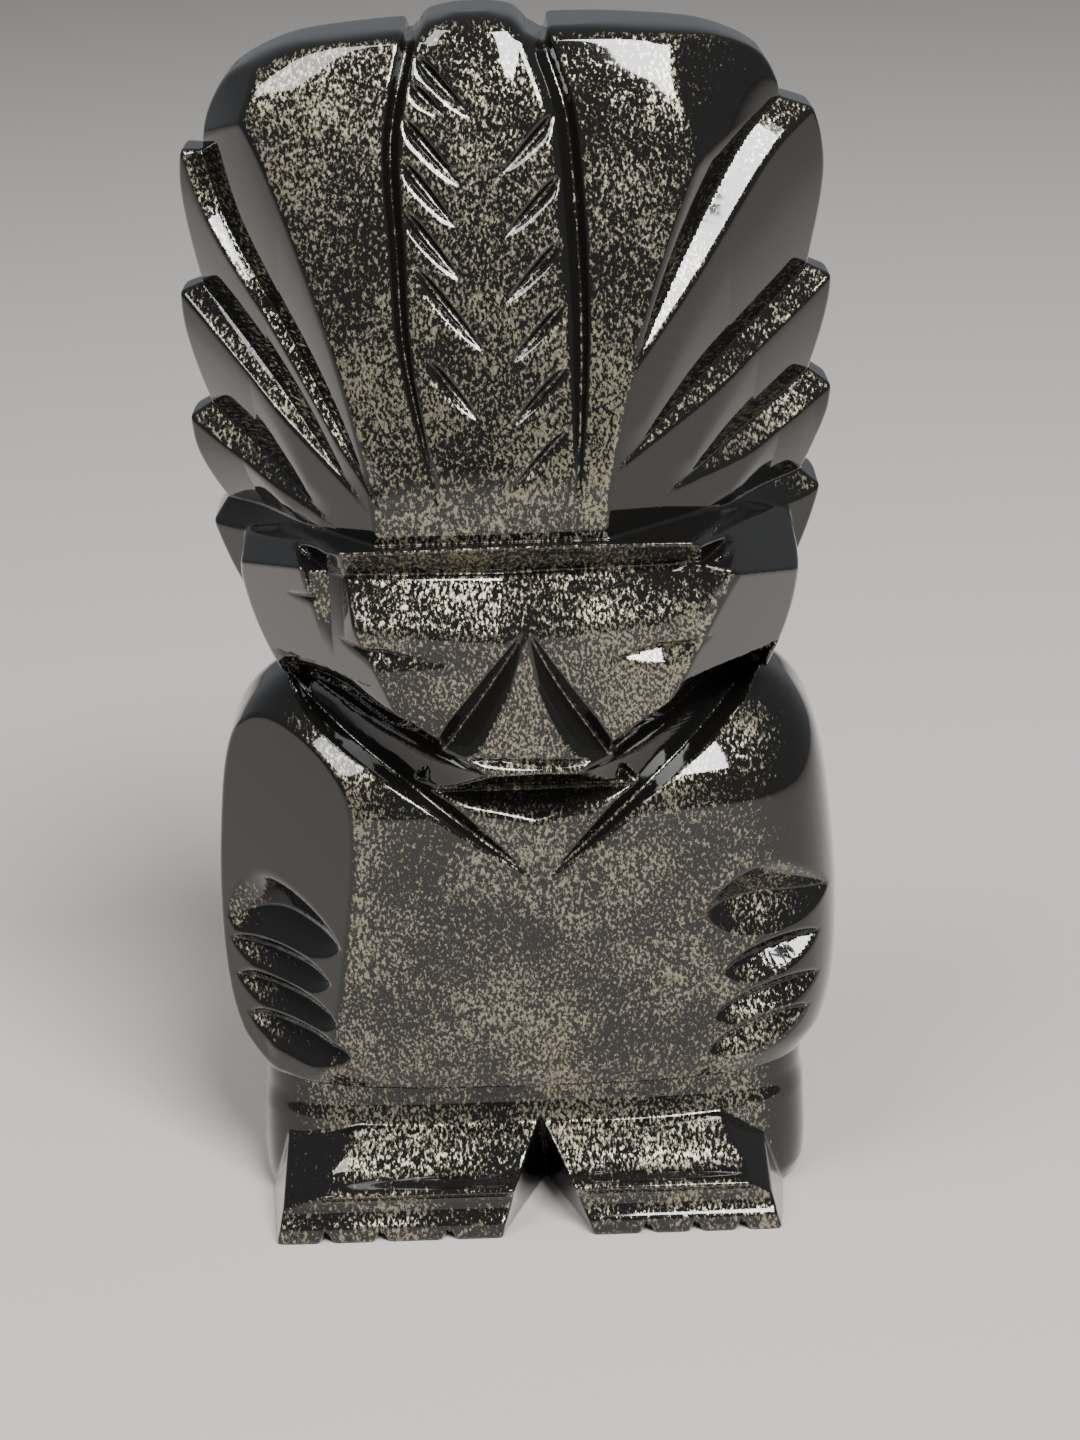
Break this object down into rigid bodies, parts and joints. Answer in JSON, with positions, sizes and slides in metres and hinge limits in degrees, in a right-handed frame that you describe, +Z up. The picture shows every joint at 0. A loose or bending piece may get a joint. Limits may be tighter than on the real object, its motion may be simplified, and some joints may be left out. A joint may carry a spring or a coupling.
{
  "type": "obsidian figurine",
  "caption": "Small carved figure with a tall feather headdress and hands on its belly, standing on its own flat underside as an ornament.",
  "frame": {"origin": "on the ground, under the middle of the figure's outline", "axes": "+Z up from the feet to the feathers, -Y the way the face looks, +X to the right as seen from the front"},
  "size_m": [0.0596, 0.0385, 0.1122],
  "materials": {
    "obsidian": "polished black volcanic glass with a fine gold-green sheen, opaque at this thickness"
  },
  "bodies": {
    "root": {"obsidian_figurine": "obsidian"}
  },
  "joints": []
}
